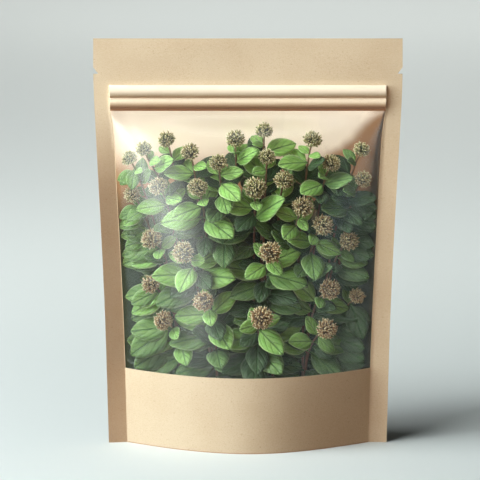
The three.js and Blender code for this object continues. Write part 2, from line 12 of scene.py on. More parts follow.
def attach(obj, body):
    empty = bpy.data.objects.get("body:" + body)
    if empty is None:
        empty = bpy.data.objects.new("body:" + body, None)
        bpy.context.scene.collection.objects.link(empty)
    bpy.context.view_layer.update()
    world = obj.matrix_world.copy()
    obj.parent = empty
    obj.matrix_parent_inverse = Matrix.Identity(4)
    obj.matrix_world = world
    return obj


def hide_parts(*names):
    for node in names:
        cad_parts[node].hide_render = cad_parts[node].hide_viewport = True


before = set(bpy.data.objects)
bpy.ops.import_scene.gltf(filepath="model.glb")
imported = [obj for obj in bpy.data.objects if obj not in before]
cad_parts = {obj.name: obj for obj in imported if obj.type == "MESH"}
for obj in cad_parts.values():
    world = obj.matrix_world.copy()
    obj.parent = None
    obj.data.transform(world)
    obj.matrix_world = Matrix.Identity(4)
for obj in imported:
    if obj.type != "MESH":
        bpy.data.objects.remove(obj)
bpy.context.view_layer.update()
scene = bpy.context.scene

MM = 0.001
TINY = 0.01

# --- sizes, the same as the part's ---
HEIGHT = 214
FILM = 0.6
GAP = 0.3
HALF_WIDTH = [(0, 73), (63, 74.4), (105, 76), (141, 77.7), (166, 79), (190, 80), (HEIGHT, 80)]
HALF_BODY = [(0, 63.2), (63, 64.9), (105, 66.7), (141, 68.5), (166, 70), (178, 71.6), (HEIGHT, 71.6)]
BULGE = [(0, 27.5), (40, 27.2), (80, 25), (120, 20.6), (150, 14.4), (165, 9), (177, 0), (HEIGHT, 0)]
FULLNESS_LOW = 1
FULLNESS_HIGH = 0.58
FULLNESS_TOP = 150
WINDOW_LOW = 40
WINDOW_TOP = 176.2
LAP = 3
FILM_TOP = WINDOW_TOP + 0.8
ZIP_LOW = 177.4
ZIP_GROOVE = 183.2
ZIP_TOP = 189.6
NOTCH_LOW = 195.5
NOTCH_TOP = 199
NOTCH_DEPTH = 2.6
FOOT_Z = 1.3

SHOOTS = [
    (11.6, 104, 6.4, 0.9, 35, "a"),
    (7, 70, 6.6, 0.85, 160, "b"),
    (-23, 78, 5.9, 0.75, 70, "c"),
    (-33.6, 103, 6.2, 0.75, 20, "d"),
    (41, 62, 5.9, 0.7, 40, "e"),
    (-44, 66, 5.6, 0.7, 75, "f"),
    (42.5, 83, 5.9, 0.7, 100, "g"),
    (-50.5, 85, 5.3, 0.6, 10, "c"),
    (39, 117, 6, 0.6, 60, "g"),
    (-50, 109, 6, 0.55, 110, "h"),
    (28.5, 127, 6, 0.55, 15, "a"),
    (52.5, 108, 5.6, 0.5, 80, "i"),
    (57, 78, 4.6, 0.5, 30, "i"),
    (4, 137, 6.2, 0.5, 50, "j"),
    (18.5, 141, 5.4, 0.4, 120, "k"),
    (-26, 137, 5.4, 0.5, 30, "l"),
    (-46.5, 137, 5.4, 0.45, 65, "m"),
    (-60, 132, 4.9, 0.35, 15, "n"),
    (60, 140, 5, 0.3, 90, "o"),
    (-15.5, 150, 5, 0.35, 20, "j"),
    (43, 149, 5.4, 0.3, 70, "p"),
    (10, 153, 4.8, 0.25, 100, "q"),
    (-61.5, 151, 4.6, 0.2, 50, "n"),
    (-30, 155, 5.2, 0.25, 0, "l"),
    (-54, 156, 4.6, 0.15, 85, "m"),
    (-6.6, 161.5, 5.4, 0.1, 30, "r"),
    (-42, 161, 4.9, 0.1, 60, "s"),
    (33.5, 161, 5.3, 0.1, 10, "t"),
    (59, 155.5, 4.7, 0.15, 40, "o"),
    (8.6, 165.5, 4.9, 0.05, 75, "q"),
]
STEM_RADIUS = 0.8
LONGEST_LEAD = 0.3
TRIES_BEND = [(0.45, 16), (0.65, 9), (0.8, 5)]
TRIES_ACROSS = [0.7, 0.6, 0.8, 0.5, 0.9]
TRIES_BACK = [0.15, 0.35, -0.15, 0.6, -0.5]
BACK_RISE = 0.004
BACK_FROM = 80
BACK_MOST = 0.85
FOOT_MARGIN = 4
BEND_MARGIN = 3
STEM_STEPS = 7
SPLAY = 0.006
STEM_CROWDING = 1.5
STEM_PARTS = 8
STEM_OFF_FILM = 0.4
STEM_OFF_HEAD = 0.6
STEM_APART = 0.7
STEM_OUTSIDE = -3
PAIRS = [(2.5, 12, 55), (7, 18, 68), (13, 22, 76), (20, 23, 82), (28, 22, 84), (37, 21, 84)]
LEAF_WIDTH = 0.6
LEAF_RIB = 1.2
LEAF_FOLD = 0.16
LEAF_DROOP = 0.16
LEAF_OUTLINE = [(0, 0.1), (0.12, 0.16), (0.34, 0.96), (0.68, 0.84), (1, 0)]
LEAF_FLATTEN = 0.5
LEAF_FACING = 0.5
LOWEST_LEAF = 16
LEAF_SAMPLE = 2
LEAF_APART = 1.5
LEAF_OFF_FILM = 0.4
LEAF_OFF_HEAD = 0.5
LEAF_SPREAD = 0.85
TRIES_SCALE = [1, 0.84, 0.7]
TRIES_RISE = [0, -18, 14, -36]
TRIES_TURN = [0, 18, -18, 38, -38, 60, -60]
SEED = 7
JITTER_TURN = 12
JITTER_SCALE = 0.12
JITTER_DROOP = 0.4
HEAD_CLEAR = 0.6
HEAD_CORNER = 0.75
UPRIGHT_LOSS = 0.65
STALK = 0.25
HEAD_NEAR = 10
CELL = 3

# --- sizes of the finer pieces ---
PAPER = 0.35
OUT = 0.6
SEAL_OUT = 0.38
SEAL_STEP = 0.3
FOOT_CREASE = 0.7
BAND_WAVE = 0.16
HEADER_WAVE = 0.35
SEAL_CURL_LEFT = 3.3
SEAL_CURL_RIGHT = 0.8
RIDGE_STANDS = 2.9
RIDGE_END = 0.0024
GROOVE_FLOOR = 1.0
BODY_CELLS = 44
FILM_THICK = 0.12
FILM_LAP = 0.02
FILM_CREASE = 0.34
FILM_SLACK = 0.22
GUSSET_OUT = 0.1
GUSSET_FLOOR = 0.5
GUSSET_CREASE = 1.1
LEAF_EDGE = [(0, 0.08), (0.1, 0.11), (0.18, 0.47), (0.32, 0.88), (0.46, 1)]
LEAF_EDGE += [(0.6, 0.97), (0.76, 0.78), (0.89, 0.49), (1, 0.06)]
LEAF_ROWS = [0, 0.1, 0.17, 0.27, 0.4, 0.54, 0.68, 0.81, 0.92, 1]
LEAF_CELLS = 4
LEAF_THICK = 0.22
LEAF_BOW = 0.46
LEAF_BOW_BACK = 0.8
LEAF_WAVE = 0.05
LEAF_TWIST = 0.16
LEAF_CURL = 0.05
LEAF_CURL_FROM = 0.7
# Small leaves between the pairs and down the bare stems, too many for the solids.
INNER_PAIRS = [(10, 17, 66), (16.5, 19, 74), (24, 21, 78), (32.5, 21, 80), (43, 22, 82), (50, 22, 82)]
INNER_PAIRS += [(from_tip, 22, 84) for from_tip in (57, 65, 73, 82, 91, 100)]
INNER_APART = 0.7
INNER_MARGIN = 0.25
# Leaves that fill what is still open between the sprigs, found on squares of this side.
SQUARE = 3
FILL_TOP = 141
FILL_WIDEST = 0.97
FILL_NEAREST = 5
FILL_REACH = 25
FILL_STEP = 3
FILL_BASES = 9
FILL_TRIES = [(0.7, 1.3), (0.7, 1.06), (0.3, 1.3), (0.3, 1.06), (0.0, 1.3)]
FILL_TRIES += [(0.0, 1.1), (0.0, 1.02), (-0.4, 1.3), (-0.4, 1.06), (-0.8, 1.06)]
FILL_OFF_FILM = 0.6
FILL_LONGEST = 26
FILL_DROOP = 0.04
FILL_FACE = (0, -1, 0.3)
FILL_APART = 0.35
EDGE_LOW = 20
EDGE_TOP = 158
EDGE_STEP = 5
EDGE_SHORT = 1.2
EDGE_APART = 0.05
VEIN_PAIRS = 3.6
STEM_INTO_HEAD = 0.4
BUDS = 190
BUD_LOWEST = -0.8
BUD_SCATTER = 0.12
BUD_LEAN = 0.42
BUD_RISE = 0.2
BUD_REACH = (0.8, 1.1)
BUD_LENGTH = (0.42, 0.7)
BUD_WIDTH = (0.15, 0.21)
HEART_SHARE = 0.6
PRESSED = 0.5

# --- colours, as on a screen ---
KRAFT_DULL = (202, 186, 155)
KRAFT_WARM = (196, 178, 146)
KRAFT_FIBRE = (212, 199, 172)
KRAFT_FLECK = (150, 117, 80)
LINING_PALE = (255, 241, 221)
# Painted shade of the lining, then its painted dark shade low down among the herbs.
LINING_PAINTED_SHADE = (164, 124, 88)
LINING_PAINTED_DARK = (26, 40, 20)
# Heights in metres between which the lining turns from painted dark shade to painted shade, and from painted
# shade to pale.
PAINTED_DARK_LEVELS = (0.118, 0.15)
PALE_LEVELS = (0.144, 0.168)
# Painted shade in the lining's top right corner, falling away from the right end of the zip: the lean of its
# edge, and where it starts and ends.
CORNER_SHADE_LEAN = 1.1
CORNER_PAINTED_SHADE = (-0.138, -0.127)
# Painted highlight on the zip's ridge tops; painted shade brown under the ridges, on the side seals and along
# the bottom edge.
RIDGE_PAINTED_HIGHLIGHT = (226, 214, 192)
PAINTED_SHADE_BROWN = (152, 94, 46)
FILM_GLOSS = 0.7
FILM_GLOSS_MOST = 0.045
# Painted shade darkens leaves by their tone towards this first colour.
LEAF_PAINTED_DARK = (18, 48, 16)
LEAF_GREEN = (120, 184, 62)
LEAF_YELLOW = (152, 200, 78)
LEAF_RIB_PALE = (172, 210, 124)
LEAF_VEIN = (36, 84, 26)
# Painted highlight along the leaf margins.
LEAF_RIM_HIGHLIGHT = (198, 224, 164)
LEAF_UNDER = (124, 160, 100)
STEM_BROWN = (113, 72, 57)
STEM_GREEN = (128, 111, 78)
STEM_PALE = (156, 122, 100)
BUD_FOOT = (52, 62, 32)
BUD_FOOT_BROWN = (66, 50, 30)
BUD_WAIST = (136, 142, 86)
BUD_WAIST_BROWN = (152, 120, 78)
BUD_MOUTH = (226, 218, 178)
FLOOR_PALE = (205, 211, 207)
FLOOR_SHADE = (200, 206, 203)
# Painted light: the floor's colour further from the pouch, paler to make up for the lamps falling off.
FLOOR_FAR_PAINTED_LIGHT = (213, 218, 214)
WORLD_COLOUR = (0.9, 1, 1, 1)
WORLD_LIGHT = 0.022
FLOOR_HALF = 6
# Softboxes that gloss doesn't show: name, azimuth to the left, elevation, distance, width, height, power,
# colour, and what they are kept off.
LIGHTS = [
    ("side_low", 66, 6, 1.2, 0.35, 0.7, 13.5, (0.92, 1, 1.06), ["lining"]),
    ("front_left", 24, 10, 1.8, 0.6, 0.6, 5.6, (1, 0.92, 0.82), ["lining", "floor"]),
    ("front_fill", -8, 10, 2.2, 1.2, 0.8, 10, (1, 0.58, 0.35), ["lining", "floor"]),
    ("high_left", 78, 42, 1.4, 0.7, 0.7, 17, (0.96, 1, 1.02), ["lining"]),
    ("high_front", 45, 50, 1.4, 0.55, 0.55, 13.5, (0.96, 1, 1.02), ["lining"]),
    ("lining_light", -46, 1, 1.8, 0.5, 0.3, 43, (1, 0.96, 0.93), []),
    ("back_soft", 192, 24, 1.6, 1.0, 0.8, 22, (1, 0.98, 0.96), ["floor"]),
]
# Cards that only gloss shows.
CARDS = [
    ("card_left", 38, 10, 1.2, 0.4, 1.1, 22, (0.97, 1, 0.99)),
    ("card_corner", 60, 50, 1.2, 0.5, 0.5, 22, (1, 1, 1)),
    ("card_top", 8, 56, 1.3, 1.4, 0.4, 6, (1, 0.99, 0.96)),
    ("card_right", -48, 4, 1.2, 0.5, 1.0, 3, (0.7, 0.9, 1)),
]
# Lights for the lining alone, and lights that don't bounce off what they fall on.
LINING_ONLY = ("lining_light",)
DIRECT_ONLY = ("back_soft",)
# Grid lights over the floor: turn about the pouch, distance aside and out, height, depth, spread, power.
WASH_WIDTH = 3.2
WASHES = [(0, 0, 2.5, 1.6, 1.4, 80, 14.5), (0, 1.25, 1.1, 1.4, 1.6, 30, 7.9)]
WASHES += [(turn, 0, 2.1, 1.6, 1.6, 60, 12) for turn in (90, 180, 270)]


# --- camera ---
def put(name, data):
    thing = bpy.data.objects.new(name, data)
    scene.collection.objects.link(thing)
    return thing


def aim(thing, place, target):
    thing.location = place
    thing.rotation_euler = (Vector(target) - Vector(place)).to_track_quat("-Z", "Y").to_euler()


def set_camera():
    elevation = math.radians(10.5)
    distance = 2.2
    target = Vector((-0.0041, 0, 0.108))
    pixels_per_metre = 1917
    image_width = 480
    data = bpy.data.cameras.new("camera")
    data.sensor_width = 36
    data.lens = data.sensor_width * pixels_per_metre * distance / image_width
    camera = put("camera", data)
    back = Vector((0, -math.cos(elevation), math.sin(elevation)))
    aim(camera, target + back * distance, target)
    scene.camera = camera


# --- shape of the pouch ---
def clamp(value, low=0.0, high=1.0):
    return min(high, max(low, value))


def through(stations):
    """Smooth curve through stations (at, value); each station's slope is that of the chord past it."""
    last = len(stations) - 1
    slopes = []
    for i in range(last + 1):
        a, b = stations[max(0, i - 1)], stations[min(last, i + 1)]
        slopes.append((b[1] - a[1]) / (b[0] - a[0]))

    def value(at):
        s = min(stations[last][0], max(stations[0][0], at))
        i = 0
        while i < last - 1 and s > stations[i + 1][0]:
            i += 1
        (x0, y0), (x1, y1) = stations[i], stations[i + 1]
        h = x1 - x0
        t = (s - x0) / h
        u = 1 - t
        level = u * u * (1 + 2 * t) * y0 + t * t * (3 - 2 * t) * y1
        return level + t * u * h * (u * slopes[i] - t * slopes[i + 1])

    return value


half_width = through(HALF_WIDTH)
half_body = through(HALF_BODY)
bulge_depth = through(BULGE)


def bulge(x, z):
    """Half depth of the pouch's middle surface."""
    u = min(1, abs(x) / half_body(z))
    power = FULLNESS_LOW + (FULLNESS_HIGH - FULLNESS_LOW) * clamp(z / FULLNESS_TOP)
    return max(0, bulge_depth(z)) * max(0, math.cos(u * math.pi / 2)) ** power


# --- growth of the oregano ---
# This is the part's own rule, so that every leaf lands where its solid is.
def add(a, b):
    return (a[0] + b[0], a[1] + b[1], a[2] + b[2])


def times(a, k):
    return (a[0] * k, a[1] * k, a[2] * k)


def minus(a, b):
    return (a[0] - b[0], a[1] - b[1], a[2] - b[2])


def dot(a, b):
    return a[0] * b[0] + a[1] * b[1] + a[2] * b[2]


def cross(a, b):
    return (a[1] * b[2] - a[2] * b[1], a[2] * b[0] - a[0] * b[2], a[0] * b[1] - a[1] * b[0])


def size(a):
    return math.sqrt(dot(a, a))


def unit(a):
    return times(a, 1 / size(a))


def draws(seed):
    """The part's own sequence of random numbers."""
    while True:
        seed = (seed * 1664525 + 1013904223) % 2**32
        yield seed / 2**32


def cell_of(at):
    return math.floor(at[0] / CELL), math.floor(at[1] / CELL), math.floor(at[2] / CELL)


def within(p, margin):
    return p[2] > FOOT_Z - TINY and abs(p[1]) <= bulge(p[0], p[2]) - FILM / 2 - margin


def head_of(shoot):
    x, z, radius, lean, turn, sprig = shoot
    near = HEAD_CORNER * radius
    places = [(0, 0), (near, 0), (-near, 0), (0, near), (0, -near)]
    room = min(bulge(x + dx, z + dz) for dx, dz in places) - FILM / 2 - HEAD_CLEAR
    depth = min(radius, room)
    middle = (x, depth - room, z)
    across = clamp((bulge(x + 1, z) - bulge(x - 1, z)) / 2, -1, 1)
    up = clamp((bulge(x, z + 1) - bulge(x, z - 1)) / 2, -1, 1)
    outward = unit((-across, -1, -up))
    tip = unit(add(times(outward, lean), (x * SPLAY, 0, 1 - UPRIGHT_LOSS * lean)))
    pole = (-tip[0] * radius, -tip[1] * depth, -tip[2] * radius)
    neck = add(middle, times(pole, 1 + GAP / size(pole)))
    head = {"middle": middle, "radius": radius, "depth": depth, "flat": depth / radius}
    return head | {"tip": tip, "neck": neck, "turn": turn, "sprig": sprig}


def from_head(p, head):
    d = minus(p, head["middle"])
    away = math.sqrt(d[0] ** 2 + d[2] ** 2 + (d[1] / head["flat"]) ** 2)
    return (away - head["radius"]) * head["flat"]


def bezier(points, t):
    u = 1 - t
    share = (u * u * u, 3 * u * u * t, 3 * u * t * t, t * t * t)
    total = (0, 0, 0)
    for p, k in zip(points, share):
        total = add(total, times(p, k))
    return total


def step_share(u):
    return 1 - (1 - u) ** STEM_CROWDING


def step_points(route):
    run = [route[0]]
    for i in range(1, STEM_STEPS + 1):
        start = bezier(route, step_share((i - 1) / STEM_STEPS))
        end = bezier(route, step_share(i / STEM_STEPS))
        for k in range(1, STEM_PARTS + 1):
            run.append(add(start, times(minus(end, start), k / STEM_PARTS)))
    return run


def outline_share(t):
    i = 0
    while i < len(LEAF_OUTLINE) - 2 and t > LEAF_OUTLINE[i + 1][0]:
        i += 1
    (t0, s0), (t1, s1) = LEAF_OUTLINE[i], LEAF_OUTLINE[i + 1]
    return s0 + ((s1 - s0) * (t - t0)) / (t1 - t0)


def blade(base, d, face, length, droop, sprig):
    """A leaf from base towards d, its upper side turned to face as far as d lets it."""
    n = unit(minus(face, times(d, dot(face, d))))
    leaf = {"base": base, "d": d, "n": n, "q": cross(n, d)}
    return leaf | {"length": length, "droop": droop, "sprig": sprig}


def leaf_point(leaf, t, v, share=None, lift=0.0):
    """Point on a leaf: t along it, v from edge to edge, lift above its face."""
    half = 0.5 * LEAF_WIDTH * leaf["length"] * (outline_share(t) if share is None else share)
    along = add(leaf["base"], times(leaf["d"], leaf["length"] * t))
    fallen = add(along, times(leaf["n"], -leaf["droop"] * leaf["length"] * t * t))
    return add(add(fallen, times(leaf["q"], v * half)), times(leaf["n"], LEAF_FOLD * half * abs(v) + lift))


class Bed:
    """Everything that grows in the pouch, each piece clear of what is there before it."""

    def __init__(self):
        self.draws = draws(SEED)
        self.margin = LEAF_RIB / 2 + LEAF_OFF_FILM
        self.heads = [head_of(shoot) for shoot in SHOOTS]
        self.cells = {}
        self.feet = {}
        self.stem_samples = []
        order = range(len(SHOOTS))
        self.stems = [self.stem_route(i) for i in order]
        for at, sprig in self.stem_samples:
            self.store(at, None, sprig, False)
        self.leaves = [self.leaves_of(i, PAIRS, LEAF_APART) for i in order]
        self.margin = INNER_MARGIN
        self.inner_leaves = [self.leaves_of(i, INNER_PAIRS, INNER_APART) for i in order]
        self.fill()

    def store(self, at, n, sprig, stalk):
        """Keeps a sample of a leaf that faces n, or of a stem where n is None."""
        self.cells.setdefault(cell_of(at), []).append((at, n, sprig, stalk))

    def spare_room(self, run, index, sprig):
        """How much room a stem's run leaves to what is nearest: too little below 0."""
        spare = math.inf
        others = [head for k, head in enumerate(self.heads) if k != index]
        stem_clear = 2 * STEM_RADIUS + STEM_APART
        head_clear = STEM_RADIUS + STEM_OFF_HEAD
        for i, p in enumerate(run):
            if not within(p, STEM_RADIUS + STEM_OFF_FILM):
                spare = min(spare, STEM_OUTSIDE)
            for head in others:
                least = max(abs(p[0] - head["middle"][0]), abs(p[2] - head["middle"][2]))
                if least * head["flat"] - head["depth"] - head_clear < spare:
                    spare = min(spare, from_head(p, head) - head_clear)
            if i % 2:
                continue
            for at, owner in self.stem_samples:
                if owner != sprig and abs(at[0] - p[0]) - stem_clear < spare:
                    spare = min(spare, size(minus(at, p)) - stem_clear)
        return spare

    def stem_route(self, index):
        """The first route from foot to head that is clear, or else the one with the most room."""
        head = self.heads[index]
        neck, tip, sprig = head["neck"], head["tip"], head["sprig"]
        rise = neck[2] - FOOT_Z
        best = None
        for (high, lead), across, share in itertools.product(TRIES_BEND, TRIES_ACROSS, TRIES_BACK):
            back = min(BACK_MOST, share + BACK_RISE * (head["middle"][2] - BACK_FROM))
            x = across * head["middle"][0]
            foot = self.feet.get(sprig) or (x, back * (bulge(x, FOOT_Z) - FOOT_MARGIN), FOOT_Z)
            bend = (x, back * (bulge(x, high * rise) - BEND_MARGIN), FOOT_Z + high * rise)
            run = step_points((foot, bend, minus(neck, times(tip, min(lead, LONGEST_LEAD * rise))), neck))
            spare = self.spare_room(run, index, sprig)
            if best is None or spare > best["spare"]:
                best = {"run": run, "foot": foot, "spare": spare}
            if best["spare"] >= 0:
                break
        self.feet[sprig] = best["foot"]
        self.stem_samples += [(at, sprig) for at in best["run"]]
        return best

    def clear_at(self, at, sprig, stalk, apart):
        if not within(at, self.margin):
            return False
        head_near = LEAF_RIB / 2 + LEAF_OFF_HEAD
        for head in self.heads:
            x, _, z = head["middle"]
            if abs(at[0] - x) < HEAD_NEAR and abs(at[2] - z) < HEAD_NEAR and from_head(at, head) < head_near:
                return False
        stem_near = STEM_RADIUS + LEAF_RIB / 2 + LEAF_OFF_FILM + GAP
        reach = (LEAF_SPREAD * LEAF_SAMPLE) ** 2
        for key in itertools.product(*((c - 1, c, c + 1) for c in cell_of(at))):
            for other, n, owner, other_stalk in self.cells.get(key, ()):
                own = owner == sprig
                d = minus(at, other)
                if n is None:
                    if not own and size(d) < stem_near:
                        return False
                    continue
                if own and (other_stalk or stalk):
                    continue
                off = abs(dot(d, n))
                if off < apart and dot(d, d) - off * off < reach:
                    return False
        return True

    def samples(self, leaf):
        """Points over a leaf's blade, and whether each lies on its stalk."""
        rows = math.ceil(leaf["length"] / LEAF_SAMPLE)
        for j in range(1, rows + 1):
            t = j / rows
            half = 0.5 * LEAF_WIDTH * leaf["length"] * outline_share(t)
            columns = math.ceil((2 * half) / LEAF_SAMPLE)
            for i in range(columns + 1):
                v = (2 * i) / columns - 1 if columns else 0
                yield leaf_point(leaf, t, v), t < STALK

    def jitter(self, most):
        return most * (2 * next(self.draws) - 1)

    def place_leaf(self, base, stemward, bearing, pair, sprig, apart):
        """Tries a leaf at turned, raised and smaller attitudes until one is clear."""
        _, length, angle = pair
        jitter_turn = self.jitter(JITTER_TURN)
        jitter_scale = 1 + self.jitter(JITTER_SCALE)
        droop = LEAF_DROOP * (1 + self.jitter(JITTER_DROOP))
        side = unit(cross(stemward, (1, 0, 0)))
        level = cross(side, stemward)
        face = add(times(stemward, 1 - LEAF_FACING), (0, -LEAF_FACING, 0))
        for scale, rise, turn in itertools.product(TRIES_SCALE, TRIES_RISE, TRIES_TURN):
            beta = math.radians(angle + rise)
            phi = math.radians(bearing + turn + jitter_turn)
            about = add(times(level, math.cos(phi)), times(side, -math.sin(phi)))
            r = unit((about[0], about[1] * LEAF_FLATTEN, about[2]))
            d = unit(add(times(stemward, math.cos(beta)), times(r, math.sin(beta))))
            leaf = blade(base, d, face, length * scale * jitter_scale, droop, sprig)
            if all(self.clear_at(at, sprig, stalk, apart) for at, stalk in self.samples(leaf)):
                for at, stalk in self.samples(leaf):
                    self.store(at, leaf["n"], sprig, stalk)
                return leaf
        return None

    def leaves_of(self, index, pairs, apart):
        """Opposite pairs down a stem, each pair crosswise to the last."""
        run = self.stems[index]["run"]
        sprig, turn = self.heads[index]["sprig"], self.heads[index]["turn"]
        grown = []
        for k, pair in enumerate(pairs):
            left = pair[0]
            i = len(run) - 1
            while i > 1 and left > size(minus(run[i], run[i - 1])):
                left -= size(minus(run[i], run[i - 1]))
                i -= 1
            stemward = unit(minus(run[i], run[i - 1]))
            base = minus(run[i], times(stemward, left))
            if base[2] < LOWEST_LEAF:
                continue
            for half in (0, 180):
                leaf = self.place_leaf(base, stemward, turn + 90 * k + half, pair, sprig, apart)
                if leaf:
                    leaf["from_tip"] = pair[0]
                    grown.append(leaf)
        return grown

    def fill(self):
        """Leaves on the nearest stems for each square of the window that still shows the back panel."""
        shown = set()
        for row in self.cells.values():
            shown |= {self.square(at) for at, n, _, _ in row if n}
        for k in range(LOWEST_LEAF // SQUARE, FILL_TOP // SQUARE + 1):
            widest = round((FILL_WIDEST * half_body(k * SQUARE)) / SQUARE)
            for i in sorted(range(-widest, widest + 1), key=abs):
                if (i, k) not in shown:
                    leaf = self.filling_leaf(i * SQUARE, k * SQUARE, FILL_APART)
                    if leaf:
                        shown |= {self.square(at) for at, _ in self.samples(leaf)}
        for z in range(EDGE_LOW, EDGE_TOP, EDGE_STEP):
            for side in (-1, 1):
                self.filling_leaf(side * (half_body(z) - EDGE_SHORT), z, EDGE_APART)

    def square(self, at):
        return round(at[0] / SQUARE), round(at[2] / SQUARE)

    def bases_near(self, x, z):
        """A few places on stems, near and less near, that a leaf could grow from to reach a point."""
        near = []
        for index, stem in enumerate(self.stems):
            for at in stem["run"][::FILL_STEP]:
                away = math.hypot(at[0] - x, at[2] - z)
                if FILL_NEAREST < away < FILL_REACH and at[2] > LOWEST_LEAF:
                    near.append((away, index, at))
        return sorted(near)[:: max(1, len(near) // FILL_BASES)][:FILL_BASES]

    def filling_leaf(self, x, z, apart):
        for _, index, base in self.bases_near(x, z):
            for depth, stretch in FILL_TRIES:
                target = (x, -depth * max(0, bulge(x, z) - FILL_OFF_FILM), z)
                reach = minus(target, base)
                length = min(FILL_LONGEST, stretch * size(reach))
                leaf = blade(base, unit(reach), FILL_FACE, length, FILL_DROOP, self.heads[index]["sprig"])
                corners = [leaf_point(leaf, t, v) for t, v in ((1, 0), (0.7, 1), (0.7, -1))]
                if not all(within(at, self.margin) for at in corners):
                    continue
                places = list(self.samples(leaf))
                if not all(within(at, self.margin) for at, _ in places):
                    continue
                outer = places[len(places) * 2 // 5 :]
                if all(self.clear_at(at, leaf["sprig"], stalk, apart) for at, stalk in outer):
                    for at, stalk in outer:
                        self.store(at, leaf["n"], leaf["sprig"], stalk)
                    self.inner_leaves[index].append(leaf)
                    return leaf
        return None


# --- finishes ---
def paint(red, green, blue):
    """A colour given as on a screen, 0 to 255, as a shader takes it."""
    linear = [((c / 255 + 0.055) / 1.055) ** 2.4 if c > 10 else c / 3294.6 for c in (red, green, blue)]
    return (*linear, 1.0)


def wired(operation, reflected=False):
    """A Math node as a method of Wire."""

    def method(self, other=0.0):
        a, b = (other, self) if reflected else (self, other)
        return self.finish.node("Math", {"operation": operation}, {0: a, 1: b})

    return method


class Wire:
    """A shader socket. Used in an expression of values, it adds the Math nodes."""

    def __init__(self, finish, socket):
        self.finish, self.socket = finish, socket

    __add__, __radd__ = wired("ADD"), wired("ADD", True)
    __sub__, __rsub__ = wired("SUBTRACT"), wired("SUBTRACT", True)
    __mul__, __rmul__ = wired("MULTIPLY"), wired("MULTIPLY", True)
    __mod__, __abs__ = wired("FLOORED_MODULO"), wired("ABSOLUTE")
    larger, smaller = wired("MAXIMUM"), wired("MINIMUM")


class Finish:
    """A material, built one node at a time."""

    def __init__(self, name):
        self.material = bpy.data.materials.new(name)
        self.material.use_nodes = True
        self.tree = self.material.node_tree
        self.tree.nodes.clear()

    def node(self, kind, settings=None, inputs=None, out=0):
        made = self.tree.nodes.new("ShaderNode" + kind)
        for name, value in (settings or {}).items():
            setattr(made, name, value)
        for key, value in (inputs or {}).items():
            if isinstance(value, Wire):
                self.tree.links.new(value.socket, made.inputs[key])
            else:
                made.inputs[key].default_value = value
        return Wire(self, made.outputs[out])

    def mix(self, share, a, b):
        """Mixes two colours, each a socket, or red, green and blue as on a screen."""
        a, b = (c if isinstance(c, Wire) else paint(*c) for c in (a, b))
        return self.node("Mix", {"data_type": "RGBA"}, {0: share, 6: a, 7: b}, 2)

    def ramp(self, value, low, high):
        """0 at low and below, 1 at high and above, smooth between."""
        inputs = {0: value, 1: low, 2: high}
        return self.node("MapRange", {"interpolation_type": "SMOOTHSTEP"}, inputs)

    def place(self, scale=(1, 1, 1)):
        here = self.node("TexCoord", out="Object")
        return self.node("Mapping", {}, {"Vector": here, "Scale": scale})

    def along_axis(self, axis):
        """The x, y or z (0, 1 or 2) of a point."""
        return self.node("SeparateXYZ", {}, {0: self.node("TexCoord", out="Object")}, axis)

    def noise(self, scale, detail=2.0, roughness=0.5, squeeze=(1, 1, 1)):
        """Soft noise from 0 to 1, finer along an axis that is squeezed."""
        inputs = {"Vector": self.place(squeeze), "Scale": scale, "Detail": detail, "Roughness": roughness}
        return self.node("TexNoise", {}, inputs, "Fac")

    def attribute(self, name):
        return self.node("Attribute", {"attribute_name": name}, {}, "Fac")

    def bump(self, height, depth, strength=1.0):
        """A relief of height 0 to 1 that is depth metres deep."""
        return self.node("Bump", {}, {"Strength": strength, "Distance": depth, "Height": height})

    def surface(self, colour, rough, normal=None, specular=0.5, sheen=0.0, metallic=0.0):
        inputs = {"Base Color": colour, "Roughness": rough, "Metallic": metallic}
        inputs |= {"Specular IOR Level": specular, "Sheen Weight": sheen}
        if normal:
            inputs["Normal"] = normal
        return self.node("BsdfPrincipled", {}, inputs, "BSDF")

    def close(self, shader):
        end = self.tree.nodes.new("ShaderNodeOutputMaterial")
        self.tree.links.new(shader.socket, end.inputs["Surface"])
        return self.material


